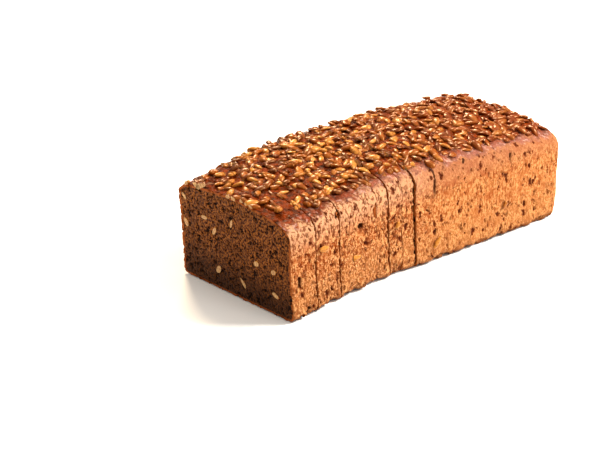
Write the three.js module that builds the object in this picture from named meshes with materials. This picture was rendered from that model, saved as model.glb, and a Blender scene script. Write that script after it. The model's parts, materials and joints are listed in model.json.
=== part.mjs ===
// A dark rye loaf with sunflower seeds, baked in a long straight tin and part sliced.
//
// It lies along X. Ten slices still stand together at the open end, -X, and the rest of
// the loaf, with its baked end, is uncut at +X. The crown is up and the near side is -Y.
// Millimetres. The origin is on the table, under the middle of the loaf's box.

import * as THREE from 'three';

// The loaf's outline across its width
const LOAF_WIDTH = 105;
const SIDE_HEIGHT = 66.5; // table to the shoulders, where the loaf is highest
const CROWN = 4.1; // rise of the top's middle over its shoulders
const NEAR_FLARE = 1.1; // how far the foot of the near side stands out
const FAR_TAPER = 2; // how far the foot of the far side is drawn in
const WAIST = 0.8; // how far each side sinks in at mid height
const FOOT_RADIUS = 5;
const NEAR_SHOULDER = 12;
const FAR_SHOULDER = 9;

// The loaf's height along its length
const HIGHEST_AT = 107; // from the open end
const DROOP = 7.9; // how much lower the baked end is
const DROOP_LENGTH = 142.4; // from the highest place to the baked end

// Slices
const SLICE_COUNT = 10;
const SLICE_PITCH = 11.3; // thickness of a slice with its cut
const CUT_GAPS = [0.4, 0.8, 0.4, 0.8, 0.4, 0.6, 0.4, 1.5, 0.4, 0.8]; // the slices lie in loose pairs
const CUT_LEAN = 0.03; // the cuts lean towards the open end as they rise
const SLID_NEAR = [9, 7, 6.8, 3.6, 3.3, 1.8, 0.3, -0.3, -0.9, -1.2]; // sideways slip of each slice

// The uncut rest of the loaf
const END_LENGTH = 136.3;
const END_RADIUS = 11; // round of the baked end's upright edges
const END_TOP_DROP = 0.6; // the top rounds down by this share of the inset
const END_TUCK = 6; // how far the foot of the baked end is drawn in
const TUCK_HEIGHT = 26; // the tuck begins at this height
const TUCK_LENGTH = 40; // and fades out this far from the baked end

const CORNER_STEPS = 5;
const END_STEPS = 14;

const CRUMB = { color: 0x6b4226, roughness: 0.95, metalness: 0 };
const CRUST = { color: 0xb8703c, roughness: 0.7, metalness: 0 };

// Outline of the loaf at its highest place, near side left, seen from the baked end
function sectionShape() {
  const near = -LOAF_WIDTH / 2;
  const far = LOAF_WIDTH / 2;
  const nearFoot = near - NEAR_FLARE;
  const farFoot = far - FAR_TAPER;
  const middle = SIDE_HEIGHT / 2;
  const crownSlope = (2 * CROWN) / (LOAF_WIDTH / 2 - NEAR_SHOULDER);

  const shape = new THREE.Shape();
  shape.moveTo(nearFoot + FOOT_RADIUS, 0);
  shape.lineTo(farFoot - FOOT_RADIUS, 0);
  shape.quadraticCurveTo(farFoot, 0, farFoot, FOOT_RADIUS);
  shape.quadraticCurveTo((far + farFoot) / 2 - 2 * WAIST, middle, far, SIDE_HEIGHT - FAR_SHOULDER);
  shape.quadraticCurveTo(far, SIDE_HEIGHT - crownSlope * FAR_SHOULDER, far - FAR_SHOULDER, SIDE_HEIGHT);
  shape.quadraticCurveTo(0, SIDE_HEIGHT + 2 * CROWN, near + NEAR_SHOULDER, SIDE_HEIGHT);
  shape.quadraticCurveTo(near, SIDE_HEIGHT - crownSlope * NEAR_SHOULDER, near, SIDE_HEIGHT - NEAR_SHOULDER);
  shape.quadraticCurveTo((near + nearFoot) / 2 + 2 * WAIST, middle, nearFoot, FOOT_RADIUS);
  shape.quadraticCurveTo(nearFoot, 0, nearFoot + FOOT_RADIUS, 0);
  return shape;
}

// Height at a distance from the open end, as a share of the greatest height
function heightShare(along) {
  const away = (along - HIGHEST_AT) / DROOP_LENGTH;
  return 1 - (DROOP / SIDE_HEIGHT) * away * away;
}

// How far the rounded baked end draws the outline in
function endInset(along, length) {
  const intoRound = along - (length - END_RADIUS);
  if (intoRound <= 0) return 0;
  return END_RADIUS - Math.sqrt(Math.max(END_RADIUS * END_RADIUS - intoRound * intoRound, 0));
}

// How far the foot of the baked end is drawn in towards the open end
function footTuck(along, height, length) {
  const under = Math.max(1 - height / TUCK_HEIGHT, 0);
  const atEnd = Math.max(1 - (length - along) / TUCK_LENGTH, 0);
  return END_TUCK * under * under * atEnd;
}

// A length of loaf from one distance to another, measured from the open end.
// crowding over 1 packs the steps towards its +X end, where the baked end rounds over.
function loafStretch(from, to, { steps, crowding, roundedEnd }) {
  const geometry = new THREE.ExtrudeGeometry(sectionShape(), {
    depth: 1,
    steps,
    bevelEnabled: false,
    curveSegments: CORNER_STEPS,
  });
  const position = geometry.getAttribute('position');
  for (let i = 0; i < position.count; i += 1) {
    const share = 1 - (1 - position.getZ(i)) ** crowding;
    const along = from + (to - from) * share;
    const inset = roundedEnd ? endInset(along, to) : 0;
    const across = position.getX(i) * (1 - (2 * inset) / LOAF_WIDTH);
    const height = position.getY(i) * heightShare(along) * (1 - (END_TOP_DROP * inset) / SIDE_HEIGHT);
    const lean = CUT_LEAN * height * (roundedEnd ? 1 - share : 1);
    const tuck = roundedEnd ? footTuck(along, height, to) : 0;
    position.setXYZ(i, along - lean - tuck, across, height);
  }
  geometry.computeVertexNormals();
  return geometry;
}

const loaf = new THREE.Group();

for (let i = 0; i < SLICE_COUNT; i += 1) {
  const cut = SLICE_PITCH * i;
  const back = cut + SLICE_PITCH - CUT_GAPS[i];
  const geometry = loafStretch(cut, back, { steps: 1, crowding: 1, roundedEnd: false });
  const slice = new THREE.Mesh(geometry, new THREE.MeshStandardMaterial(CRUMB));
  slice.name = `slice_${String(i + 1).padStart(2, '0')}`;
  slice.position.y = -SLID_NEAR[i];
  loaf.add(slice);
}

const lastCut = SLICE_PITCH * SLICE_COUNT;
const endGeometry = loafStretch(lastCut, lastCut + END_LENGTH, {
  steps: END_STEPS,
  crowding: 2,
  roundedEnd: true,
});
const uncutEnd = new THREE.Mesh(endGeometry, new THREE.MeshStandardMaterial(CRUST));
uncutEnd.name = 'uncut_end';
loaf.add(uncutEnd);

const box = new THREE.Box3().setFromObject(loaf);
const middle = box.getCenter(new THREE.Vector3());
loaf.position.set(-middle.x, -middle.y, -box.min.z);

const group = new THREE.Group();
group.add(loaf);

export default group;
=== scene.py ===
import json
import math

import bmesh
import bpy
import numpy as np
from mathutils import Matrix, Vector

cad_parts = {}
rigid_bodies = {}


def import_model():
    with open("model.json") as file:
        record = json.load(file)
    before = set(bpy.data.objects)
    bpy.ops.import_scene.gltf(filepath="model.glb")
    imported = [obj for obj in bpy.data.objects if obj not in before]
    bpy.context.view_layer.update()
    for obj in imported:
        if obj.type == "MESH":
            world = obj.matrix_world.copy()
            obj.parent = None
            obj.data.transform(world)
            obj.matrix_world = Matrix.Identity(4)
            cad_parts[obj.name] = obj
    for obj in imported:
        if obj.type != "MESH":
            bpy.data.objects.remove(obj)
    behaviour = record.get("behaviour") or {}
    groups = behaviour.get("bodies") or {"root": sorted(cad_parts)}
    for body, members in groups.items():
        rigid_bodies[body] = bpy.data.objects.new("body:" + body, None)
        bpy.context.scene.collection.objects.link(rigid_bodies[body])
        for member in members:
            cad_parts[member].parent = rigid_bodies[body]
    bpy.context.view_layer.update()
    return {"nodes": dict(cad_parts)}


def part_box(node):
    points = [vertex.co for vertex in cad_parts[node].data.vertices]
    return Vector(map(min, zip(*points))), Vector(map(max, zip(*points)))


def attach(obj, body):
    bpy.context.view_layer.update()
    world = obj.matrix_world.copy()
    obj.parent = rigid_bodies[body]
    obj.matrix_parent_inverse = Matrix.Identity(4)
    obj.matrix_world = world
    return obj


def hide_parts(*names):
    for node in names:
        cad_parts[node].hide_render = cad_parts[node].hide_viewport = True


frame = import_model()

scene = bpy.context.scene

# ---- The loaf as it left its tin -------------------------------------------------------
# A dark rye dough proved and baked in a long straight tin. Its sides and base took the
# tin's flat walls, and its top rose just past the rim into a low crown with soft shoulders.
MM = 0.001
LOAF_WIDTH = 105 * MM
SIDE_HEIGHT = 66.5 * MM  # to the shoulders, where the loaf is highest
CROWN = 4.1 * MM  # rise of the top's middle over its shoulders
NEAR_FLARE = 1.1 * MM  # how far the foot of the near side stands out
FAR_TAPER = 2 * MM  # how far the foot of the far side is drawn in
WAIST = 0.8 * MM  # how far each side sinks in at mid height
FOOT_RADIUS = 5 * MM
NEAR_SHOULDER = 12 * MM
FAR_SHOULDER = 9 * MM
HIGHEST_AT = 107 * MM  # from the open end
DROOP = 7.9 * MM  # how much lower the baked end is
DROOP_LENGTH = 142.4 * MM  # from the highest place to the baked end
END_RADIUS = 11 * MM  # round of the baked end's upright edges
END_TOP_DROP = 0.6  # its top rounds down by this share of the inset
END_TUCK = 6 * MM  # how far the foot of the baked end is drawn in
TUCK_HEIGHT = 26 * MM
TUCK_LENGTH = 40 * MM
CUT_LEAN = 0.03  # the cuts lean towards the open end as they rise

end_low, end_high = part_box("uncut_end")
slice_names = sorted(name for name in frame["nodes"] if name.startswith("slice_"))
open_low, open_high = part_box(slice_names[0])
OPEN_X = open_low.x + CUT_LEAN * open_high.z
LOAF_LENGTH = end_high.x - OPEN_X
CENTRE_Y = end_high.y - LOAF_WIDTH / 2


def bend(start, corner, end, steps=32):
    """Points along the turn from start to end that is pulled towards corner."""
    t = np.linspace(0, 1, steps + 1)[:, None]
    start, corner, end = (np.array(point) for point in (start, corner, end))
    return (1 - t) ** 2 * start + 2 * t * (1 - t) * corner + t**2 * end


def spaced(points, count):
    """The same route with count equal steps."""
    step = np.hypot(*np.diff(points, axis=0).T)
    reach = np.concatenate([[0], np.cumsum(step)])
    wanted = np.linspace(0, reach[-1], count + 1)
    return np.stack([np.interp(wanted, reach, points[:, axis]) for axis in (0, 1)], 1)


def outline_edges():
    """The outline's base, far, top and near edges, each between the middles of two corners."""
    near, far = -LOAF_WIDTH / 2, LOAF_WIDTH / 2
    near_foot, far_foot = near - NEAR_FLARE, far - FAR_TAPER
    top, waist = SIDE_HEIGHT, SIDE_HEIGHT / 2
    slope = 2 * CROWN / (LOAF_WIDTH / 2 - NEAR_SHOULDER)
    foot_far = bend((far_foot - FOOT_RADIUS, 0), (far_foot, 0), (far_foot, FOOT_RADIUS))
    side_far = bend(
        (far_foot, FOOT_RADIUS), ((far + far_foot) / 2 - 2 * WAIST, waist), (far, top - FAR_SHOULDER)
    )
    shoulder_far = bend(
        (far, top - FAR_SHOULDER), (far, top - slope * FAR_SHOULDER), (far - FAR_SHOULDER, top)
    )
    crown = bend((far - FAR_SHOULDER, top), (0, top + 2 * CROWN), (near + NEAR_SHOULDER, top))
    shoulder_near = bend(
        (near + NEAR_SHOULDER, top), (near, top - slope * NEAR_SHOULDER), (near, top - NEAR_SHOULDER)
    )
    side_near = bend(
        (near, top - NEAR_SHOULDER),
        ((near + near_foot) / 2 + 2 * WAIST, waist),
        (near_foot, FOOT_RADIUS),
    )
    foot_near = bend((near_foot, FOOT_RADIUS), (near_foot, 0), (near_foot + FOOT_RADIUS, 0))
    half = len(foot_far) // 2
    base = np.vstack([foot_near[half:], foot_far[: half + 1]])
    far_edge = np.vstack([foot_far[half:], side_far[1:], shoulder_far[1 : half + 1]])
    top_edge = np.vstack([shoulder_far[half:], crown[1:], shoulder_near[1 : half + 1]])[::-1]
    near_edge = np.vstack([shoulder_near[half:], side_near[1:], foot_near[1 : half + 1]])[::-1]
    return base, far_edge, top_edge, near_edge


def height_share(along):
    """The loaf's height at a distance from its open end, as a share of the greatest height."""
    return 1 - DROOP / SIDE_HEIGHT * ((along - HIGHEST_AT) / DROOP_LENGTH) ** 2


def section_grid(cell):
    """The outline filled by a grid of about cell size, how deep each point of it lies, and
    which way is out from its walls (nothing for a point inside)."""
    across, up = round(LOAF_WIDTH / cell), round(SIDE_HEIGHT / cell)
    base, far_edge, top_edge, near_edge = outline_edges()
    base, top_edge = spaced(base, across), spaced(top_edge, across)
    near_edge, far_edge = spaced(near_edge, up), spaced(far_edge, up)
    a = np.linspace(0, 1, across + 1)[:, None, None]
    b = np.linspace(0, 1, up + 1)[None, :, None]
    near_corners = (1 - b) * base[0] + b * top_edge[0]
    far_corners = (1 - b) * base[-1] + b * top_edge[-1]
    ruled = (
        (1 - b) * base[:, None]
        + b * top_edge[:, None]
        + (1 - a) * near_edge[None]
        + a * far_edge[None]
    )
    grid = ruled - ((1 - a) * near_corners + a * far_corners)
    rim = np.vstack([base, far_edge, top_edge, near_edge])
    deep = np.array(
        [np.hypot(*(column[:, None] - rim[None]).transpose(2, 0, 1)).min(1) for column in grid]
    )
    loop = np.vstack([base[:-1], far_edge[:-1], top_edge[:0:-1], near_edge[:0:-1]])
    tangent = np.roll(loop, -1, 0) - np.roll(loop, 1, 0)
    tangent /= np.hypot(*tangent.T)[:, None]
    outward = np.zeros_like(grid)
    place = np.vstack(
        [
            np.stack([np.arange(across), np.zeros(across)], 1),
            np.stack([np.full(up, across), np.arange(up)], 1),
            np.stack([np.arange(across, 0, -1), np.full(across, up)], 1),
            np.stack([np.zeros(up), np.arange(up, 0, -1)], 1),
        ]
    ).astype(int)
    outward[place[:, 0], place[:, 1]] = np.stack([tangent[:, 1], -tangent[:, 0]], 1)
    return grid, deep, outward


def loaf_places(along, section, start, length, rounded_end):
    """Where points of the section come to lie in the loaf, before any slice slips sideways."""
    into_round = np.clip(along - (start + length - END_RADIUS), 0, END_RADIUS) * rounded_end
    inset = END_RADIUS - np.sqrt(END_RADIUS**2 - into_round**2)
    y = section[..., 0] * (1 - 2 * inset / LOAF_WIDTH)
    z = section[..., 1] * height_share(along) * (1 - END_TOP_DROP * inset / SIDE_HEIGHT)
    fade = 1 - (along - start) / length * rounded_end
    under = np.clip(1 - z / TUCK_HEIGHT, 0, 1)
    at_end = np.clip(1 - (start + length - along) / TUCK_LENGTH, 0, 1) * rounded_end
    x = along - CUT_LEAN * z * fade - END_TUCK * under**2 * at_end
    return np.stack([x, y, z], -1), into_round / END_RADIUS


def steps_along(start, length, cell, rounded_end):
    """Distances from the open end for the rings of one piece, even round its baked end too."""
    if not rounded_end:
        return np.linspace(start, start + length, round(length / cell) + 1)
    turn_from = start + length - END_RADIUS
    straight = np.linspace(start, turn_from, round((length - END_RADIUS) / cell) + 1)
    turn = np.linspace(0, math.pi / 2, round(END_RADIUS * math.pi / 2 / cell) + 1)[1:]
    return np.concatenate([straight, turn_from + END_RADIUS * np.sin(turn)])


def set_attribute(mesh, name, kind, values):
    """Stores a value on each point of the mesh."""
    layer = mesh.attributes.new(name, kind, "POINT")
    field = "vector" if kind == "FLOAT_VECTOR" else "value"
    layer.data.foreach_set(field, values.astype(np.float32).ravel())


TORN_LENGTH = 10 * MM
TORN_HEIGHT = 11 * MM
TORN_WIDTH = LOAF_WIDTH / 4


def torn_foot(along, places, torn_at, torn):
    """How far the knife dragged the near foot inwards, most at one of a slice's two cuts."""
    beside = np.clip(1 - np.abs(along - torn_at) / TORN_LENGTH, 0, 1)
    low = np.clip(1 - places[:, 2] / TORN_HEIGHT, 0, 1)
    near = np.clip((-places[:, 1] - TORN_WIDTH) / TORN_WIDTH, 0, 1)
    return torn * beside * low * near


RIM_TILT = 0.5  # how much the rim of a cut faces along the loaf as well
MAP_GAP = 2  # rows left free between the grids in the bake map
CRUST_SLOT = 0
CRUMB_SLOT = 1


def cell_corners(grid):
    """The four neighbours round each cell of a grid, in turn."""
    return [grid[:-1, :-1], grid[:-1, 1:], grid[1:, 1:], grid[1:, :-1]]


def bread_block(name, start, length, slip, cell, rounded_end=False, torn_at=0.0, torn=0.0):
    """A closed block of the loaf: grids for base, top, sides and ends that share their edges."""
    grid, deep, outward = section_grid(cell)
    along = steps_along(start, length, cell, rounded_end)
    shape = (len(along), *grid.shape[:2])
    last = [n - 1 for n in shape]
    i, j, k = np.indices(shape)
    on_skin = (i == 0) | (i == last[0]) | (j == 0) | (j == last[1]) | (k == 0) | (k == last[2])
    i, j, k = i[on_skin], j[on_skin], k[on_skin]
    number = np.full(shape, -1)
    number[on_skin] = np.arange(len(i))

    places, round_share = loaf_places(along[i], grid[j, k], start, length, rounded_end)
    baked_at = np.stack([along[i], places[:, 1], places[:, 2]], 1)
    places[:, 1] += torn_foot(along[i], places, torn_at, torn)
    wall = np.any(outward[j, k] != 0, axis=1)
    cut_start = i == 0
    cut_end = (i == last[0]) & (not rounded_end)
    out = np.zeros((len(i), 3))
    out[:, 1:] = outward[j, k] * np.sqrt(1 - round_share[:, None] ** 2)
    out[:, 0] = round_share * wall + (i == last[0]) * ~wall
    out[cut_start & ~wall, 0] = -1
    sides = out.copy()
    out[cut_start & wall, 0] -= RIM_TILT
    out[cut_end & wall, 0] += RIM_TILT
    out /= np.linalg.norm(out, axis=1)[:, None]

    patches = [
        (number[:, :, 0], CRUST_SLOT, False),
        (number[:, :, -1], CRUST_SLOT, True),
        (number[:, 0, :], CRUST_SLOT, True),
        (number[:, -1, :], CRUST_SLOT, False),
        (number[0], CRUMB_SLOT, False),
        (number[-1], CRUST_SLOT if rounded_end else CRUMB_SLOT, True),
    ]
    faces, slots, maps, shelf = [], [], [], 0
    for patch, slot, flip in patches:
        row, column = np.indices(patch.shape)
        flat = np.stack([row + shelf, column], -1).astype(float)
        quads = np.stack(cell_corners(patch), -1).reshape(-1, 4)
        spots = np.stack(cell_corners(flat), 2).reshape(-1, 4, 2)
        faces.append(quads[:, ::-1] if flip else quads)
        maps.append(spots[:, ::-1] if flip else spots)
        slots.append(np.full(len(quads), slot))
        shelf += patch.shape[0] + MAP_GAP
    faces, maps, slots = np.vstack(faces), np.vstack(maps), np.concatenate(slots)

    mesh = bpy.data.meshes.new(name)
    mesh.from_pydata((places + [OPEN_X, CENTRE_Y - slip, 0]).tolist(), [], faces.tolist())
    mesh.polygons.foreach_set("material_index", slots)
    mesh.polygons.foreach_set("use_smooth", np.ones(len(faces), bool))
    layer = mesh.uv_layers.new(name="OFBake")
    layer.uv.foreach_set("vector", (maps / maps.max((0, 1))).astype(np.float32).ravel())
    set_attribute(mesh, "baked_at", "FLOAT_VECTOR", baked_at)
    set_attribute(mesh, "out", "FLOAT_VECTOR", out)
    set_attribute(mesh, "skyward", "FLOAT", sides[:, 2])
    set_attribute(mesh, "under_crust", "FLOAT", deep[j, k])
    set_attribute(mesh, "on_cut", "FLOAT", ((cut_start | cut_end) & ~wall).astype(float))
    from_cut = along[i] - start
    if not rounded_end:
        from_cut = np.minimum(from_cut, start + length - along[i])
    set_attribute(mesh, "from_cut", "FLOAT", from_cut)
    mesh.update()
    block = bpy.data.objects.new(name, mesh)
    scene.collection.objects.link(block)
    return block


# ---- Pits, pores and lumps -------------------------------------------------------------
# Gas opened the dough into small irregular holes. Where it lay against the tin they are
# pits, drawn out upwards by the rise, and where the knife passed they are open pores. The
# same patterns press the surface in and darken it, so each hole is where its shade is.
def add(tree, kind, inputs=None, **settings):
    """A new node in tree with its settings. Each input is a plain value, a socket, or a node
    whose first output is used."""
    node = tree.nodes.new(kind)
    for key, value in settings.items():
        setattr(node, key, value)
    for key, value in (inputs or {}).items():
        if isinstance(value, bpy.types.Node):
            value = value.outputs[0]
        if isinstance(value, bpy.types.NodeSocket):
            tree.links.new(value, node.inputs[key])
        else:
            node.inputs[key].default_value = value
    return node


# The patterns' sizes and places are in mm, measured in the loaf as it was baked
def speckle(tree, place, size, stretch=1.0, detail=2.0, rough=0.5):
    """Soft noise from 0 to 1 whose spots are about size mm across, and stretch times as tall."""
    per_mm = (1 / size, 1 / size, 1 / (size * stretch))
    fit = add(tree, "ShaderNodeVectorMath", {0: place, 1: per_mm}, operation="MULTIPLY")
    look = {"Vector": fit, "Scale": 1, "Detail": detail, "Roughness": rough}
    return add(tree, "ShaderNodeTexNoise", look)


DRIFT_SCALE = 1.9  # waves per cell in the noise that bends the holes out of round
HOLE_SLOPE = 0.6  # a hole slopes down over this share of its radius


def holes(tree, place, spacing, share, smallest, largest, stretch=1.0, wobble=0.35):
    """Round holes in a share of cells spacing mm apart, 1 in their middle and 0 outside them."""
    per_mm = (1 / spacing, 1 / spacing, 1 / (spacing * stretch))
    fit = add(tree, "ShaderNodeVectorMath", {0: place, 1: per_mm}, operation="MULTIPLY")
    drift = add(tree, "ShaderNodeTexNoise", {"Vector": fit, "Scale": DRIFT_SCALE, "Detail": 2})
    bent = add(
        tree,
        "ShaderNodeVectorMath",
        {0: drift.outputs["Color"], 1: (wobble * 2,) * 3, 2: fit},
        operation="MULTIPLY_ADD",
    )
    cells = add(tree, "ShaderNodeTexVoronoi", {"Vector": bent, "Scale": 1})
    chance = add(tree, "ShaderNodeSeparateXYZ", {0: cells.outputs["Color"]})
    has_hole = add(tree, "ShaderNodeMath", {0: chance, 1: 1 - share}, operation="GREATER_THAN")
    sizes = {0: chance, 1: 1 - share, 2: 1, 3: smallest / spacing, 4: largest / spacing}
    radius = add(tree, "ShaderNodeMapRange", sizes)
    from_middle = cells.outputs["Distance"]
    within = add(tree, "ShaderNodeMath", {0: radius, 1: from_middle}, operation="SUBTRACT")
    slope = add(tree, "ShaderNodeMath", {0: radius, 1: HOLE_SLOPE}, operation="MULTIPLY")
    depth = add(
        tree, "ShaderNodeMapRange", {0: within, 1: 0, 2: slope}, interpolation_type="SMOOTHSTEP"
    )
    return add(tree, "ShaderNodeMath", {0: depth, 1: has_hole}, operation="MULTIPLY")


def crust_pits(tree, place):
    """Small and middling tin-side pits and the few large ones, each 0 to 1."""
    small = holes(tree, place, 3.1, 0.85, 0.5, 1.3, stretch=1.5, wobble=0.55)
    middling = holes(tree, place, 5.8, 0.85, 0.7, 2.5, stretch=1.6, wobble=0.55)
    large = holes(tree, place, 12, 0.6, 1.6, 3.4, stretch=1.6, wobble=0.35)
    return small, middling, large


def crumb_pores(tree, place):
    """Fine and coarse pores of the cut crumb, each 0 to 1."""
    fine = holes(tree, place, 2.6, 0.92, 0.4, 1.3, wobble=0.6)
    coarse = holes(tree, place, 6.2, 0.75, 1.0, 3.2, wobble=0.6)
    return fine, coarse


CREASE_AT = 129.8  # from the open end
CREASE_WIDTH = 1.8
CREASE_WANDER = 5.0  # from side to side
CREASE_LOW, CREASE_HIGH = 40, 52  # it fades out between these heights
NEAR_SIDE_FROM = -35  # across the loaf from its middle


def crease(tree, place):
    """The upright crease in the near side past the last cut, from its shoulder halfway down."""
    along, across, height = add(tree, "ShaderNodeSeparateXYZ", {0: place}).outputs
    wander = {0: speckle(tree, place, 9), 1: CREASE_WANDER, 2: along}
    bent = add(tree, "ShaderNodeMath", wander, operation="MULTIPLY_ADD")
    middle = {0: bent, 1: CREASE_AT + CREASE_WANDER / 2, 2: CREASE_WIDTH / 2}
    line = add(tree, "ShaderNodeMath", middle, operation="COMPARE")
    fade = {0: height, 1: CREASE_LOW, 2: CREASE_HIGH}
    high = add(tree, "ShaderNodeMapRange", fade, interpolation_type="SMOOTHSTEP")
    near = add(tree, "ShaderNodeMath", {0: across, 1: NEAR_SIDE_FROM}, operation="LESS_THAN")
    kept = add(tree, "ShaderNodeMath", {0: line, 1: high}, operation="MULTIPLY")
    return add(tree, "ShaderNodeMath", {0: kept, 1: near}, operation="MULTIPLY")


def in_mm(tree, place):
    """A place in metres turned to millimetres."""
    return add(tree, "ShaderNodeVectorMath", {0: place, 1: (1 / MM,) * 3}, operation="MULTIPLY")


def own(tree, name, kind="FLOAT"):
    """A value stored on a piece's points, for a geometry tree."""
    return add(tree, "GeometryNodeInputNamedAttribute", {"Name": name}, data_type=kind)


def socket_inputs(tree, names):
    """A geometry tree's sockets: the geometry itself and a number for each name."""
    tree.interface.new_socket("Geometry", in_out="INPUT", socket_type="NodeSocketGeometry")
    tree.interface.new_socket("Geometry", in_out="OUTPUT", socket_type="NodeSocketGeometry")
    for name in names:
        tree.interface.new_socket(name, in_out="INPUT", socket_type="NodeSocketFloat")
    return add(tree, "NodeGroupInput").outputs


CHIPPED = 1.8 * MM  # how far from a cut the knife chipped the crust
FOOT_HEIGHT = 8  # the foot is gnawed up to this height
FOOT_GNAWED = 2.2  # and by up to this much
GRAIN_SHARE = 0.55  # height of the fine grain against the swellings
MIDDLING_DEPTH, CREASE_DEPTH = 1.3, 1.5  # against a small pit's
FINE_DEPTH, SHRED_DEPTH = 0.6, 0.35  # against a coarse pore's


def oven_surface(crust, crumb):
    """Presses pits into the crust and pores into the cuts, and leaves the walls a little lumpy."""
    tree = bpy.data.node_groups.new("oven surface", "GeometryNodeTree")
    given = socket_inputs(tree, ["Lumps", "Pit depth", "Hollow depth", "Pore depth", "Chip depth"])
    place = in_mm(tree, own(tree, "baked_at", "FLOAT_VECTOR"))
    on_cut = own(tree, "on_cut")

    # Soft swellings with a finer grain on them
    swell = add(tree, "ShaderNodeMath", {0: speckle(tree, place, 11), 1: 0.5}, operation="SUBTRACT")
    grain = speckle(tree, place, 2.2, detail=3)
    grain = add(tree, "ShaderNodeMath", {0: grain, 1: 0.5}, operation="SUBTRACT")
    rough = add(tree, "ShaderNodeMath", {0: grain, 1: GRAIN_SHARE, 2: swell}, operation="MULTIPLY_ADD")
    lumps = add(tree, "ShaderNodeMath", {0: rough, 1: given["Lumps"]}, operation="MULTIPLY")

    # Pits and the crease, only in the walls that stood against the tin
    upright = add(tree, "ShaderNodeMapRange", {0: own(tree, "skyward"), 1: 0.15, 2: 0.6, 3: 1, 4: 0})
    small, middling, large = crust_pits(tree, place)
    pits = {0: middling, 1: MIDDLING_DEPTH, 2: small}
    pits = add(tree, "ShaderNodeMath", pits, operation="MULTIPLY_ADD")
    creased = {0: crease(tree, place), 1: CREASE_DEPTH, 2: pits}
    pits = add(tree, "ShaderNodeMath", creased, operation="MULTIPLY_ADD")
    pits = add(tree, "ShaderNodeMath", {0: pits, 1: given["Pit depth"]}, operation="MULTIPLY")
    hollowed = {0: large, 1: given["Hollow depth"], 2: pits}
    pits = add(tree, "ShaderNodeMath", hollowed, operation="MULTIPLY_ADD")
    pits = add(tree, "ShaderNodeMath", {0: pits, 1: upright}, operation="MULTIPLY")

    # The gnawed foot, and chips where the knife went in and out
    height = add(tree, "ShaderNodeSeparateXYZ", {0: place}).outputs["Z"]
    foot = add(tree, "ShaderNodeMapRange", {0: height, 1: 0, 2: FOOT_HEIGHT, 3: 1, 4: 0})
    gnawing = {0: speckle(tree, place, 6), 1: 0.45, 2: 0.65, 4: FOOT_GNAWED}
    gnawed = add(tree, "ShaderNodeMapRange", gnawing)
    inward = add(tree, "ShaderNodeMath", {0: foot, 1: gnawed, 2: pits}, operation="MULTIPLY_ADD")
    near_cut = add(tree, "ShaderNodeMapRange", {0: own(tree, "from_cut"), 1: 0, 2: CHIPPED, 3: 1, 4: 0})
    bite = add(tree, "ShaderNodeMapRange", {0: speckle(tree, place, 3.2, detail=3), 1: 0.5, 2: 0.7})
    chips = add(tree, "ShaderNodeMath", {0: near_cut, 1: bite}, operation="MULTIPLY")
    chipped = {0: chips, 1: given["Chip depth"], 2: inward}
    inward = add(tree, "ShaderNodeMath", chipped, operation="MULTIPLY_ADD")
    wall = add(tree, "ShaderNodeMath", {0: lumps, 1: inward}, operation="SUBTRACT")

    # Pores and torn crumb in the cuts
    fine, coarse = crumb_pores(tree, place)
    shallow = add(tree, "ShaderNodeMath", {0: fine, 1: FINE_DEPTH}, operation="MULTIPLY")
    pores = add(tree, "ShaderNodeMath", {0: shallow, 1: coarse}, operation="ADD")
    shreds = speckle(tree, place, 1.6, detail=3)
    torn = {0: shreds, 1: SHRED_DEPTH, 2: pores}
    torn = add(tree, "ShaderNodeMath", torn, operation="MULTIPLY_ADD")
    cut = add(tree, "ShaderNodeMath", {0: torn, 1: given["Pore depth"]}, operation="MULTIPLY")
    cut = add(tree, "ShaderNodeMath", {0: cut, 1: -1}, operation="MULTIPLY")

    moved = add(tree, "ShaderNodeMix", {0: on_cut, 2: wall, 3: cut}, data_type="FLOAT")
    metres = add(tree, "ShaderNodeMath", {0: moved, 1: MM}, operation="MULTIPLY")
    push = {0: own(tree, "out", "FLOAT_VECTOR"), "Scale": metres}
    offset = add(tree, "ShaderNodeVectorMath", push, operation="SCALE")
    here = add(tree, "GeometryNodeInputPosition")
    there = add(tree, "ShaderNodeVectorMath", {0: here, 1: offset}, operation="ADD")
    # No point goes below the table, at height 0
    over_table = add(tree, "ShaderNodeVectorMath", {0: there, 1: (-1, -1, 0)}, operation="MAXIMUM")
    shape = {"Geometry": given["Geometry"], "Position": over_table}
    shaped = add(tree, "GeometryNodeSetPosition", shape)
    finished = add(tree, "GeometryNodeRealizeInstances", {"Geometry": shaped})
    for slot, finish in ((CRUST_SLOT, crust), (CRUMB_SLOT, crumb)):
        of_slot = add(tree, "GeometryNodeInputMaterialIndex")
        chosen = add(
            tree, "FunctionNodeCompare", {2: of_slot, 3: slot}, data_type="INT", operation="EQUAL"
        )
        finished = add(
            tree,
            "GeometryNodeSetMaterial",
            {"Geometry": finished, "Selection": chosen, "Material": finish},
        )
    add(tree, "NodeGroupOutput", {0: finished})
    return tree


def made_plain(piece, tree, values):
    """Gives the piece a geometry tree's result as its own plain mesh."""
    modifier = piece.modifiers.new("shape", "NODES")
    modifier.node_group = tree
    for item in tree.interface.items_tree:
        if item.in_out == "INPUT" and item.name in values:
            modifier[item.identifier] = values[item.name]
    depsgraph = bpy.context.evaluated_depsgraph_get()
    mesh = bpy.data.meshes.new_from_object(
        piece.evaluated_get(depsgraph), preserve_all_data_layers=True, depsgraph=depsgraph
    )
    piece.modifiers.clear()
    old = piece.data
    piece.data = mesh
    bpy.data.meshes.remove(old)


# ---- Finishes of the bread -------------------------------------------------------------
# Rye bread has two finishes. The crust dried and toasted against the tin's steel walls and
# under the oven's heat, and the crumb was laid bare where the knife passed.
def linear(code):
    """Linear colour of an sRGB hex value."""
    parts = [int(code[i : i + 2], 16) / 255 for i in (1, 3, 5)]
    return [p / 12.92 if p <= 0.04045 else ((p + 0.055) / 1.055) ** 2.4 for p in parts] + [1]


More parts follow.
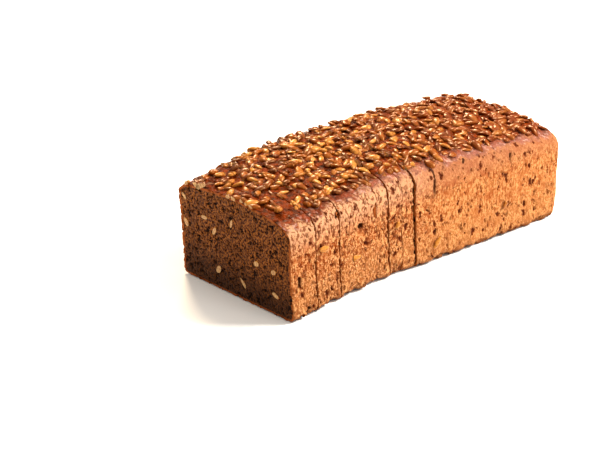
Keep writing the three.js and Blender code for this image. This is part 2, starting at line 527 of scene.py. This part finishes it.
def tinted(tree, colour, code, pattern, low, high, most=1.0):
    """colour turned to another, by at most a share of most, where pattern runs low to high."""
    limits = {0: pattern, 1: low, 2: high, 4: most}
    share = add(tree, "ShaderNodeMapRange", limits, interpolation_type="SMOOTHSTEP")
    mixed = add(tree, "ShaderNodeMix", {0: share, 6: colour, 7: linear(code)}, data_type="RGBA")
    return mixed.outputs[2]


def new_material(name):
    material = bpy.data.materials.new(name)
    material.use_nodes = True
    tree = material.node_tree
    tree.nodes.clear()
    surface = add(tree, "ShaderNodeBsdfPrincipled")
    add(tree, "ShaderNodeOutputMaterial", {"Surface": surface})
    return material, tree, surface


def place_in_loaf(tree):
    """Where a point was in the loaf when it was baked, in mm."""
    baked_at = add(tree, "ShaderNodeAttribute", attribute_name="baked_at")
    return in_mm(tree, baked_at.outputs["Vector"])


def stored(tree, name):
    """A value stored on a piece's points, for a material."""
    return add(tree, "ShaderNodeAttribute", attribute_name=name).outputs["Fac"]


def crust_material():
    # Tin-baked rye crust. Its walls dried against hot steel: a matt tan skin, flecked, streaked
    # upwards and pitted, with painted shade in the pits. The open top was brushed with starch and
    # took more heat, which gives the eye a dark red-brown that shines and breaks up over the
    # shoulders, with a painted sheen and painted glints on the near one.
    material, tree, surface = new_material("baked_rye_crust")
    place = place_in_loaf(tree)
    along, across, height = add(tree, "ShaderNodeSeparateXYZ", {0: place}).outputs
    sliced = add(tree, "ShaderNodeMapRange", {0: along, 1: 135, 2: 95, 4: 0.8})
    cloud = speckle(tree, place, 9, stretch=1.2)
    fleck = speckle(tree, place, 1.2, stretch=1.4, detail=3, rough=0.7)
    streak = speckle(tree, place, 1.5, stretch=3.5, detail=2)
    small, middling, large = crust_pits(tree, place)

    # Walls: tan flecks on brown, clouded and streaked
    side = tinted(tree, linear("#85380F"), "#E09C62", fleck, 0.4, 0.6)
    side = tinted(tree, side, "#BC7A44", along, 105, 150, 0.4)
    side = tinted(tree, side, "#B8703C", cloud, 0.45, 0.75, 0.4)
    side = tinted(tree, side, "#96471C", speckle(tree, place, 4.5, detail=3), 0.5, 0.66, 0.65)
    side = tinted(tree, side, "#74300E", streak, 0.54, 0.68, 0.6)
    side = tinted(tree, side, "#A0664A", height, 42, 60, 0.6)
    # The sliced part is paler higher up and more strongly flecked
    side = tinted(tree, side, "#D9A27A", height, 38, 60, sliced)
    side = tinted(tree, side, "#662608", speckle(tree, place, 1.7, stretch=1.8), 0.5, 0.6, sliced)
    side = tinted(tree, side, "#E8A872", speckle(tree, place, 1.3, stretch=1.3), 0.58, 0.68, sliced)
    side = tinted(tree, side, "#D09C60", height, 36, 10, 0.14)
    # Painted shade darkens the pits and the crease, most at their bottom, and the crust is darker at
    # the foot
    side = tinted(tree, side, "#6A2A0C", small, 0.1, 0.8, 0.55)
    side = tinted(tree, side, "#6A240A", middling, 0.05, 0.4, 0.8)
    side = tinted(tree, side, "#3A1206", middling, 0.4, 0.95, 0.8)
    side = tinted(tree, side, "#2A0D05", large, 0.2, 0.8, 0.92)
    side = tinted(tree, side, "#2A0D05", crease(tree, place), 0, 1, 0.9)
    # Darker towards the foot, from 5 mm down
    side = tinted(tree, side, "#54230E", height, 5.0, 0.5, 0.75)

    # Top: dark and mottled, with a painted pinkish sheen and painted glints along the near shoulder
    dark = speckle(tree, place, 3.5, detail=4, rough=0.6)
    top = tinted(tree, linear("#320C00"), "#7E2E04", dark, 0.35, 0.65)
    painted_sheen = add(tree, "ShaderNodeMapRange", {0: along, 1: 30, 2: 120, 3: 0.1, 4: 0.6})
    # Painted sheen: the near shoulder turns pale pink, more so further from the open end
    top = tinted(tree, top, "#A87060", across, -38, -49, painted_sheen)
    shoulder = add(tree, "ShaderNodeMapRange", {0: across, 1: -39, 2: -49, 4: 0.6})
    # Painted glints: pale speckles over the near shoulder
    top = tinted(tree, top, "#DCB0A0", speckle(tree, place, 2.6, detail=3), 0.52, 0.64, shoulder)

    patches = {0: speckle(tree, place, 7, detail=3), 1: 0.9, 2: stored(tree, "skyward")}
    broken = add(tree, "ShaderNodeMath", patches, operation="MULTIPLY_ADD")
    top_share = add(
        tree, "ShaderNodeMapRange", {0: broken, 1: 1.1, 2: 1.36}, interpolation_type="SMOOTHSTEP"
    )
    colour = add(tree, "ShaderNodeMix", {0: top_share, 6: side, 7: top}, data_type="RGBA")
    tree.links.new(colour.outputs[2], surface.inputs["Base Color"])
    rough = add(tree, "ShaderNodeMapRange", {0: top_share, 3: 0.72, 4: 0.33})
    tree.links.new(rough.outputs[0], surface.inputs["Roughness"])
    surface.inputs["IOR"].default_value = 1.47
    surface.inputs["Specular IOR Level"].default_value = 0.09
    surface.inputs["Specular Tint"].default_value = linear("#FFB878")

    relief = add(tree, "ShaderNodeMath", {0: small, 1: -1.2, 2: fleck}, operation="MULTIPLY_ADD")
    wrinkle = add(tree, "ShaderNodeMath", {0: dark, 1: 0.8, 2: relief}, operation="MULTIPLY_ADD")
    bump = add(tree, "ShaderNodeBump", {"Height": wrinkle, "Distance": 1.0 * MM, "Strength": 1.0})
    tree.links.new(bump.outputs[0], surface.inputs["Normal"])
    return material


def crumb_material():
    # Rye crumb, baked moist and sawn through. It is dull, and it gives the eye a close net of
    # brown cell walls round pores painted nearly black with shade, inside a thin brown line of
    # crust. A painted shadow darkens it towards the base.
    material, tree, surface = new_material("cut_rye_crumb")
    place = place_in_loaf(tree)
    deep = stored(tree, "under_crust")
    height = add(tree, "ShaderNodeSeparateXYZ", {0: place}).outputs["Z"]
    cell_wall = speckle(tree, place, 1.4, detail=3, rough=0.65)
    fine, coarse = crumb_pores(tree, place)

    crumb = tinted(tree, linear("#2E1003"), "#A05C24", cell_wall, 0.42, 0.59)
    crumb = tinted(tree, crumb, "#532A0E", speckle(tree, place, 9, detail=3), 0.42, 0.66, 0.5)
    # Painted shade: the fine and coarse pores are darkened nearly to black
    crumb = tinted(tree, crumb, "#1C0903", fine, 0.02, 0.6, 0.78)
    crumb = tinted(tree, crumb, "#150804", coarse, 0.1, 0.65, 0.95)
    # Painted shadow: the crumb darkens towards the base
    crumb = tinted(tree, crumb, "#241006", height, 34, 6, 0.7)
    crumb = tinted(tree, crumb, "#A4531F", deep, 2.2 * MM, 1.2 * MM, 0.9)
    tree.links.new(crumb, surface.inputs["Base Color"])
    surface.inputs["Roughness"].default_value = 0.6
    surface.inputs["IOR"].default_value = 1.45
    surface.inputs["Specular IOR Level"].default_value = 0.1
    relief = add(tree, "ShaderNodeMath", {0: fine, 1: -1.2, 2: cell_wall}, operation="MULTIPLY_ADD")
    bump = add(tree, "ShaderNodeBump", {"Height": relief, "Distance": 0.8 * MM, "Strength": 1.0})
    tree.links.new(bump.outputs[0], surface.inputs["Normal"])
    return material


crust = crust_material()
crumb = crumb_material()
surface_tree = oven_surface(crust, crumb)

# ---- Ten standing slices ---------------------------------------------------------------
# Slices of rye bread 10 to 11 mm thick. The knife cut them in turn from the open end, and
# they still stand side by side, the first ones slipped a little towards the near side.
SLICE_CELL = 0.72 * MM
OPEN_FACE_CELL = 0.6 * MM  # finer, because the whole cut of the first slice shows
SLICE_DEPTHS = {  # in mm
    "Lumps": 1.5,
    "Pit depth": 0.7,
    "Hollow depth": 2.4,
    "Pore depth": 1.3,
    "Chip depth": 1.1,
}
FOOT_TORN = [0.3, 1, 3, 2.6, 3, 1.6, 2.4, 2, 2.4, 1.6]  # in mm, from the open end

cuts = []
for number, name in enumerate(slice_names):
    low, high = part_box(name)
    start = low.x + CUT_LEAN * high.z - OPEN_X
    length = high.x - OPEN_X - start
    slip = end_high.y - high.y
    cell = OPEN_FACE_CELL if number == 0 else SLICE_CELL
    torn_at = start if number % 2 else start + length
    torn = FOOT_TORN[number] * MM
    block = bread_block(name + "_bread", start, length, slip, cell, torn_at=torn_at, torn=torn)
    block.data.materials.append(crust)
    block.data.materials.append(crumb)
    made_plain(block, surface_tree, SLICE_DEPTHS)
    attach(block, "root")
    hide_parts(name)
    cuts.append((name, start, start + length, slip))

# ---- The uncut end ---------------------------------------------------------------------
# The rest of the loaf in one piece of the same bread. Its upright edges are rounded, and
# its foot drawn in, where the dough baked against the end of the tin.
END_CELL = 0.8 * MM
END_DEPTHS = {  # in mm
    "Lumps": 1.5,
    "Pit depth": 0.6,
    "Hollow depth": 2.6,
    "Pore depth": 1.3,
    "Chip depth": 1.1,
}

end_start = end_low.x + CUT_LEAN * end_high.z - OPEN_X
end_length = LOAF_LENGTH - end_start
end_block = bread_block("uncut_end_bread", end_start, end_length, 0, END_CELL, rounded_end=True)
end_block.data.materials.append(crust)
end_block.data.materials.append(crumb)
made_plain(end_block, surface_tree, END_DEPTHS)
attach(end_block, "root")
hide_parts("uncut_end")
past_end = LOAF_LENGTH + END_RADIUS  # no kernel is cut there
cuts.append(("uncut_end", end_start, past_end, 0))

# ---- Sunflower kernels -----------------------------------------------------------------
# Hulled sunflower kernels, most of them 8 to 11 mm long, pressed thickly into the brushed
# dough before baking. A few more are in the dough. They toasted gold to brown, and the
# knife went through those that lay in its way.
KERNEL_LENGTH = 9.4 * MM
KERNEL_WIDTH = 5.4 * MM
KERNEL_THICKNESS = 3.8 * MM
KERNEL_SIDES = 8
THIN_END, ROUND_END = 0.75, 0.42  # powers that shape a kernel's two ends
GIRTH_SCALE = 0.49  # brings the fullest ring to about the whole width
FLAT_UNDER = 0.75  # the underside is flatter than the top
THICK_ENDS = 0.8  # power that tapers the thickness less than the width
BROKEN_STUB = 0.96  # a broken end stands out a little less


def kernel_shape(name, length, width, thickness, bow, whole=1.0):
    """A teardrop kernel, pointed at one end; whole under 1 breaks off its round end."""
    rings = np.array([0.05, 0.2, 0.4, 0.6, 0.8, 0.95]) * whole
    turn = np.arange(KERNEL_SIDES) * 2 * math.pi / KERNEL_SIDES
    girth = rings**THIN_END * (1 - rings) ** ROUND_END / GIRTH_SCALE
    points = [(-length / 2, 0, 0)]
    for t, g in zip(rings, girth):
        lift = bow * 4 * t * (1 - t)
        for c, s in zip(np.cos(turn), np.sin(turn)):
            flat = FLAT_UNDER if s < 0 else 1
            up = thickness / 2 * g**THICK_ENDS * s * flat + lift
            points.append((length * (t - 0.5), width / 2 * g * c, up))
    stub = 1 if whole == 1 else BROKEN_STUB
    points.append((length * (whole - 0.5) * stub, 0, bow * 4 * whole * (1 - whole)))
    n, end = KERNEL_SIDES, len(points) - 1
    faces = [(0, 1 + (s + 1) % n, 1 + s) for s in range(n)]
    for ring in range(len(rings) - 1):
        first = 1 + ring * n
        for s in range(n):
            after = first + (s + 1) % n
            faces.append((first + s, after, after + n, first + n + s))
    first = end - n
    faces += [(first + s, first + (s + 1) % n, end) for s in range(n)]
    mesh = bpy.data.meshes.new(name)
    mesh.from_pydata(points, [], faces)
    mesh.polygons.foreach_set("use_smooth", np.ones(len(faces), bool))
    share = [0] + [t for t in rings for _ in range(n)] + [whole]
    set_attribute(mesh, "along_kernel", "FLOAT", np.array(share))
    set_attribute(mesh, "on_kernel", "FLOAT_VECTOR", np.array(points))
    return bpy.data.objects.new(name, mesh)


# Length, width and thickness as shares of the above, bow in mm, and the part that is whole
kernel_shapes = bpy.data.collections.new("kernel shapes")
for name, sizes in {
    "plump": (1.0, 1.0, 1.0, 0.1, 1.0),
    "slim": (1.05, 0.78, 0.8, 0.25, 1.0),
    "bowed": (0.95, 0.95, 0.75, 0.5, 1.0),
    "flat": (0.92, 1.1, 0.65, 0.0, 1.0),
    "broken": (1.0, 0.95, 0.9, 0.1, 0.62),
}.items():
    long, wide, thick, bow, whole = sizes
    shape = kernel_shape(
        name, KERNEL_LENGTH * long, KERNEL_WIDTH * wide, KERNEL_THICKNESS * thick, bow * MM, whole
    )
    kernel_shapes.objects.link(shape)


FIBRES_PER_METRE = (330, 1900, 1900)  # a fibre is about 3 mm long and 0.5 mm wide
FIBRE_SHIFT = (97, 53, 71)  # moves each tone to another stretch of the grain


def kernel_material():
    # Toasted sunflower kernels under the same starch glaze as the crust. Their fine lengthwise
    # fibre, dark pointed ends and many tones from brown to gold give the eye a lively, crowded
    # top, and each has a small warm glint. The grain is drawn coarse enough to show.
    material, tree, surface = new_material("toasted_sunflower_kernel")
    tone = stored(tree, "tone")
    along = stored(tree, "along_kernel")
    on_kernel = add(tree, "ShaderNodeAttribute", attribute_name="on_kernel").outputs["Vector"]
    grain = {0: on_kernel, 1: FIBRES_PER_METRE}
    grain_place = add(tree, "ShaderNodeVectorMath", grain, operation="MULTIPLY")
    other = add(tree, "ShaderNodeVectorMath", {0: FIBRE_SHIFT, "Scale": tone}, operation="SCALE")
    grain_place = add(tree, "ShaderNodeVectorMath", {0: grain_place, 1: other}, operation="ADD")
    fibre = speckle(tree, grain_place, 1, detail=3, rough=0.6)
    place = in_mm(tree, add(tree, "ShaderNodeTexCoord").outputs["Object"])
    mottle = speckle(tree, place, 1.4, detail=3)
    colour = tinted(tree, linear("#4E1702"), "#8E4304", tone, 0.05, 0.6)
    colour = tinted(tree, colour, "#C88236", tone, 0.6, 0.92)
    colour = tinted(tree, colour, "#6A2A06", mottle, 0.42, 0.66, 0.6)
    colour = tinted(tree, colour, "#C88C40", fibre, 0.55, 0.7, 0.45)
    colour = tinted(tree, colour, "#4A1E08", along, 0.24, 0.0, 0.6)
    # They are browner towards the baked end: partly deeper toasting, partly painted shade
    baked_end = add(tree, "ShaderNodeSeparateXYZ", {0: place})
    colour = tinted(tree, colour, "#6E2604", baked_end, -20, 110, 0.75)
    tree.links.new(colour, surface.inputs["Base Color"])
    surface.inputs["Roughness"].default_value = 0.29
    surface.inputs["IOR"].default_value = 1.48
    surface.inputs["Specular IOR Level"].default_value = 0.72
    surface.inputs["Specular Tint"].default_value = linear("#FFC484")
    relief = add(tree, "ShaderNodeMath", {0: fibre, 1: mottle}, operation="ADD")
    bump = add(tree, "ShaderNodeBump", {"Height": relief, "Distance": 0.2 * MM, "Strength": 0.5})
    tree.links.new(bump.outputs[0], surface.inputs["Normal"])
    return material


def cut_kernel_material():
    # The inside of a sunflower kernel that the knife sliced: pale tan, matt and faintly
    # mottled, so the eye sees it as a light fleck in the dark crumb.
    material, tree, surface = new_material("cut_sunflower_kernel")
    place = in_mm(tree, add(tree, "ShaderNodeTexCoord").outputs["Object"])
    colour = tinted(tree, linear("#A87440"), "#D6A86A", speckle(tree, place, 0.9), 0.35, 0.65)
    tree.links.new(colour, surface.inputs["Base Color"])
    surface.inputs["Roughness"].default_value = 0.6
    return material


def seeded_sheet(name, places, seeded):
    """A plain sheet through a grid of places, with how thickly each of them was seeded."""
    number = np.arange(seeded.size).reshape(seeded.shape)
    ring = [number[:-1, :-1], number[1:, :-1], number[1:, 1:], number[:-1, 1:]]
    faces = np.stack(ring, -1).reshape(-1, 4)
    mesh = bpy.data.meshes.new(name)
    mesh.from_pydata(places.reshape(-1, 3).tolist(), [], faces.tolist())
    set_attribute(mesh, "seeded", "FLOAT", seeded)
    sheet = bpy.data.objects.new(name, mesh)
    scene.collection.objects.link(sheet)
    return sheet


SHEET_CELL = 2.0 * MM
SHEET_STOPS = 0.6 * END_RADIUS  # short of the baked end


def wall_places(edge):
    """A grid of places over one wall of the whole loaf, before any slice slips."""
    along = np.linspace(0, LOAF_LENGTH - SHEET_STOPS, round(LOAF_LENGTH / SHEET_CELL))
    around = spaced(edge, round(LOAF_WIDTH / SHEET_CELL))
    grid_along, grid_section = np.broadcast_arrays(along[:, None, None], around[None])
    distance = grid_along[..., 0]
    in_end = distance > end_start
    places, _ = loaf_places(distance, grid_section, end_start, end_length, in_end)
    return distance, places


# The near shoulder has a bare strip, wide at the open end and narrow further on
BARE_ALONG = (0, 22 * MM, 45 * MM, 130 * MM, 250 * MM)
BARE_NEAR = (20 * MM, 13 * MM, 6 * MM, 5 * MM, 7 * MM)
BARE_FAR = 3 * MM
THINNING = 4 * MM  # the kernels thin out over this width beside a bare strip
SPARSE_ALONG = (20 * MM, 70 * MM)
SPARSE_SHARE = (0.68, 1)  # and they lie thinner at the open end


def top_sheet():
    distance, places = wall_places(outline_edges()[2])
    y = places[..., 1]
    bare = np.interp(distance, BARE_ALONG, BARE_NEAR)
    near_share = np.clip((y + LOAF_WIDTH / 2 - bare) / THINNING, 0, 1)
    far_share = np.clip((LOAF_WIDTH / 2 - BARE_FAR - y) / THINNING, 0, 1)
    thick = np.interp(distance, SPARSE_ALONG, SPARSE_SHARE)
    return seeded_sheet("top sheet", places, near_share * far_share * thick)


SIDE_LOW, SIDE_HIGH = 6 * MM, 52 * MM  # kernels show between these heights
SIDE_END = 48 * MM  # and no nearer to the baked end than this


def near_side_sheet():
    distance, places = wall_places(outline_edges()[3][::-1])
    z = places[..., 2]
    seeded = (z > SIDE_LOW) & (z < SIDE_HIGH) & (distance < LOAF_LENGTH - SIDE_END)
    return seeded_sheet("side sheet", places, seeded.astype(float))


FACE_CELL = 3.0 * MM
FACE_RIM = 4 * MM  # the outermost crumb holds none


def open_face_sheet():
    grid, deep, _ = section_grid(FACE_CELL)
    places, _ = loaf_places(np.zeros(deep.shape), grid, 0, 1, rounded_end=False)
    return seeded_sheet("open face sheet", places, (deep > FACE_RIM).astype(float))


RANDOM_SEEDS = {"place": 7, "turn": 3, "size": 5, "depth": 11, "tone": 13}
SMALLEST, LARGEST = 0.82, 1.2


def scattered_kernels():
    """Lays kernels on a sheet at random, as close as its spacing allows."""
    tree = bpy.data.node_groups.new("scattered kernels", "GeometryNodeTree")
    given = socket_inputs(
        tree, ["Spacing", "Most per square metre", "Tilt", "Sunk", "Raised", "Darkest"]
    )
    points = add(
        tree,
        "GeometryNodeDistributePointsOnFaces",
        {
            "Mesh": given["Geometry"],
            "Distance Min": given["Spacing"],
            "Density Max": given["Most per square metre"],
            "Density Factor": own(tree, "seeded"),
            "Seed": RANDOM_SEEDS["place"],
        },
        distribute_method="POISSON",
    )
    tilt = given["Tilt"]
    tilt_back = add(tree, "ShaderNodeMath", {0: tilt, 1: -1}, operation="MULTIPLY")
    low = add(tree, "ShaderNodeCombineXYZ", {0: tilt_back, 1: tilt_back, 2: 0.0})
    high = add(tree, "ShaderNodeCombineXYZ", {0: tilt, 1: tilt, 2: 2 * math.pi})
    range_of_turn = {0: low, 1: high, "Seed": RANDOM_SEEDS["turn"]}
    turn = add(tree, "FunctionNodeRandomValue", range_of_turn, data_type="FLOAT_VECTOR")
    turned = add(tree, "FunctionNodeEulerToRotation", {0: turn})
    rotation = add(
        tree,
        "FunctionNodeRotateRotation",
        {0: points.outputs["Rotation"], 1: turned},
        rotation_space="LOCAL",
    )
    range_of_size = {2: SMALLEST, 3: LARGEST, "Seed": RANDOM_SEEDS["size"]}
    size = add(tree, "FunctionNodeRandomValue", range_of_size, data_type="FLOAT").outputs[1]
    shapes = add(
        tree,
        "GeometryNodeCollectionInfo",
        {"Collection": kernel_shapes, "Separate Children": True, "Reset Children": True},
    )
    laid = add(
        tree,
        "GeometryNodeInstanceOnPoints",
        {
            "Points": points.outputs["Points"],
            "Instance": shapes,
            "Pick Instance": True,
            "Rotation": rotation,
            "Scale": size,
        },
    )
    range_of_depth = {2: given["Sunk"], 3: given["Raised"], "Seed": RANDOM_SEEDS["depth"]}
    lift = add(tree, "FunctionNodeRandomValue", range_of_depth, data_type="FLOAT").outputs[1]
    up = add(tree, "ShaderNodeCombineXYZ", {2: lift})
    set_down = add(tree, "GeometryNodeTranslateInstances", {"Instances": laid, "Translation": up})
    range_of_tone = {2: given["Darkest"], 3: 1.0, "Seed": RANDOM_SEEDS["tone"]}
    tone = add(tree, "FunctionNodeRandomValue", range_of_tone, data_type="FLOAT").outputs[1]
    toned = add(
        tree,
        "GeometryNodeStoreNamedAttribute",
        {"Geometry": set_down, "Name": "tone", "Value": tone},
        data_type="FLOAT",
        domain="INSTANCE",
    )
    real = add(tree, "GeometryNodeRealizeInstances", {"Geometry": toned})
    finished = add(tree, "GeometryNodeSetMaterial", {"Geometry": real, "Material": toasted})
    add(tree, "NodeGroupOutput", {0: finished})
    return tree


WHOLE_SLOT = 0
CUT_SLOT = 1


def knife_through(source, start, end, slip):
    """The part of source between two cuts, closed where the knife passed, moved with its slice."""
    shaped = bmesh.new()
    shaped.from_mesh(source)
    for face in shaped.faces:
        face.material_index = WHOLE_SLOT
    lean = Vector((1, 0, CUT_LEAN)).normalized()
    for at, side in ((start, -1), (end, 1)):
        kept = shaped.verts[:] + shaped.edges[:] + shaped.faces[:]
        done = bmesh.ops.bisect_plane(
            shaped, geom=kept, plane_co=(at, 0, 0), plane_no=lean * side, clear_outer=True, dist=1e-7
        )
        rim = [part for part in done["geom_cut"] if isinstance(part, bmesh.types.BMEdge)]
        lids = bmesh.ops.holes_fill(shaped, edges=rim, sides=0)
        for lid in lids["faces"]:
            lid.material_index = CUT_SLOT
            lid.smooth = False
    bmesh.ops.translate(shaped, verts=shaped.verts, vec=(OPEN_X, CENTRE_Y - slip, 0))
    mesh = bpy.data.meshes.new("kernels")
    shaped.to_mesh(mesh)
    shaped.free()
    return mesh


toasted = kernel_material()
cut_kernel = cut_kernel_material()
kernels_laid = scattered_kernels()
TOP_KERNELS = {
    "Spacing": 4.15 * MM,
    "Most per square metre": 90000,
    "Tilt": 0.45,
    "Sunk": -0.8 * MM,
    "Raised": 0.9 * MM,
    "Darkest": 0.0,
}
SIDE_KERNELS = {
    "Spacing": 20 * MM,
    "Most per square metre": 700,
    "Tilt": 0.2,
    "Sunk": -1.8 * MM,
    "Raised": -1.4 * MM,
    "Darkest": 0.9,
}
FACE_KERNELS = {
    "Spacing": 11 * MM,
    "Most per square metre": 2200,
    "Tilt": 1.2,
    "Sunk": -1.0 * MM,
    "Raised": 1.0 * MM,
    "Darkest": 0.6,
}
strewn = bmesh.new()
for sheet, amounts in (
    (top_sheet(), TOP_KERNELS),
    (near_side_sheet(), SIDE_KERNELS),
    (open_face_sheet(), FACE_KERNELS),
):
    made_plain(sheet, kernels_laid, amounts)
    strewn.from_mesh(sheet.data)
    bpy.data.objects.remove(sheet)
kernels = bpy.data.meshes.new("strewn kernels")
strewn.to_mesh(kernels)
strewn.free()

for name, start, end, slip in cuts:
    piece = bpy.data.objects.new(name + "_kernels", knife_through(kernels, start, end, slip))
    scene.collection.objects.link(piece)
    piece.data.materials.append(toasted)
    piece.data.materials.append(cut_kernel)
    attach(piece, "root")
bpy.data.meshes.remove(kernels)
for shape in list(kernel_shapes.objects):
    bpy.data.objects.remove(shape)
bpy.data.collections.remove(kernel_shapes)

# ---- Table, light and camera -----------------------------------------------------------
# A plain white painted table in a room with dim walls and a bright ceiling. A large soft
# lamp stands to the right of the loaf and above it, a weak one lights the long side lower
# down, and a warm one behind gives the top its glints. The open face has mostly room light.
# The place in the sliced part that the camera and the lamps face
FACED = Vector((OPEN_X + 44.1 * MM, CENTRE_Y - 18.9 * MM, 38.7 * MM))
TABLE_HALF = 6.0
TABLE_BELOW = -0.1 * MM
WALL_LIGHT = 0.1
CEILING_LIGHT = 1.15
WALL_TOP, CEILING_EDGE = 0.42, 0.75  # sines of their angles above level

floor_mesh = bpy.data.meshes.new("table")
corners = ((-1, -1), (1, -1), (1, 1), (-1, 1))
places = [(x * TABLE_HALF, y * TABLE_HALF, TABLE_BELOW) for x, y in corners]
floor_mesh.from_pydata(places, [], [(0, 1, 2, 3)])
floor = bpy.data.objects.new("table", floor_mesh)
scene.collection.objects.link(floor)
# White matt paint: it throws the lamps' light back evenly and shows no shine
table_paint, tree, surface = new_material("white_table")
surface.inputs["Base Color"].default_value = linear("#FBFBFA")
surface.inputs["Roughness"].default_value = 0.9
floor_mesh.materials.append(table_paint)

world = bpy.data.worlds.new("white room")
world.use_nodes = True
room = world.node_tree
view_way = add(room, "ShaderNodeTexCoord").outputs["Generated"]
upward = add(room, "ShaderNodeSeparateXYZ", {0: view_way}).outputs["Z"]
ceiling = add(
    room,
    "ShaderNodeMapRange",
    {0: upward, 1: WALL_TOP, 2: CEILING_EDGE, 3: WALL_LIGHT, 4: CEILING_LIGHT},
    interpolation_type="SMOOTHSTEP",
)
room.nodes["Background"].inputs["Color"].default_value = linear("#FFF6EA")
room.links.new(ceiling.outputs[0], room.nodes["Background"].inputs["Strength"])
scene.world = world


def lamp(name, direction, distance, size, power, colour=(1, 1, 1)):
    """A square soft lamp that faces the loaf from a direction."""
    data = bpy.data.lights.new(name, "AREA")
    data.shape = "SQUARE"
    data.size = size
    data.energy = power
    data.color = colour
    light = bpy.data.objects.new(name, data)
    toward = Vector(direction).normalized()
    light.location = FACED + toward * distance
    light.rotation_euler = toward.to_track_quat("Z", "Y").to_euler()
    scene.collection.objects.link(light)


lamp("key", (0.61, -0.45, 0.72), distance=1.6, size=0.45, power=38, colour=(1, 0.95, 0.88))
lamp("side", (0.1, -1, 0.5), distance=1.8, size=0.9, power=7)
lamp("back", (0.45, 0.75, 0.8), distance=1.6, size=0.34, power=31, colour=(1, 0.8, 0.55))

VIEW_AZIMUTH = math.radians(-41.82)
VIEW_ELEVATION = math.radians(22.97)
VIEW_DISTANCE = 1.4876
camera_data = bpy.data.cameras.new("camera")
camera_data.lens = 144
camera_data.sensor_width = 36
camera_data.clip_start = 0.05
camera_data.clip_end = 50
camera = bpy.data.objects.new("camera", camera_data)
back = Vector(
    (
        math.sin(VIEW_AZIMUTH) * math.cos(VIEW_ELEVATION),
        -math.cos(VIEW_AZIMUTH) * math.cos(VIEW_ELEVATION),
        math.sin(VIEW_ELEVATION),
    )
)
camera.location = FACED + back * VIEW_DISTANCE
camera.rotation_euler = back.to_track_quat("Z", "Y").to_euler()
scene.collection.objects.link(camera)
scene.camera = camera
scene.view_settings.view_transform = "Standard"
